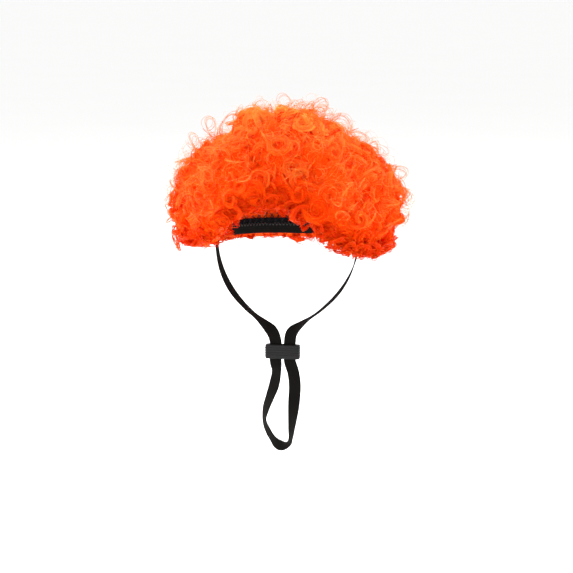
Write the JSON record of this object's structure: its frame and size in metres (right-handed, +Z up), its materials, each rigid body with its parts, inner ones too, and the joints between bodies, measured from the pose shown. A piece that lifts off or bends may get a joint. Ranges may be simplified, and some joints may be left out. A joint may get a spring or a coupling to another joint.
{
  "type": "pet wig",
  "caption": "Curly dome-shaped wig for a small dog on an open net cap, arched over the face, with a flat elastic chin strap in a loop.",
  "frame": {"origin": "inside the crown of the cap, where the top of the head bears", "axes": "+Z up, -Y out of the face, +X to the right of a viewer who faces the wig"},
  "size_m": [0.1973, 0.1939, 0.2908],
  "materials": {
    "net": "black open knit net, dull",
    "hem_elastic": "black woven elastic, dull",
    "hair": "bright orange curled synthetic fibre, soft sheen",
    "strap_elastic": "black flat woven elastic, dull",
    "slide_plastic": "black moulded plastic, satin"
  },
  "bodies": {
    "root": {"cap": "net", "rim_hem": "hem_elastic", "hair": "hair", "chin_strap": "strap_elastic", "strap_slide": "slide_plastic"}
  },
  "joints": []
}
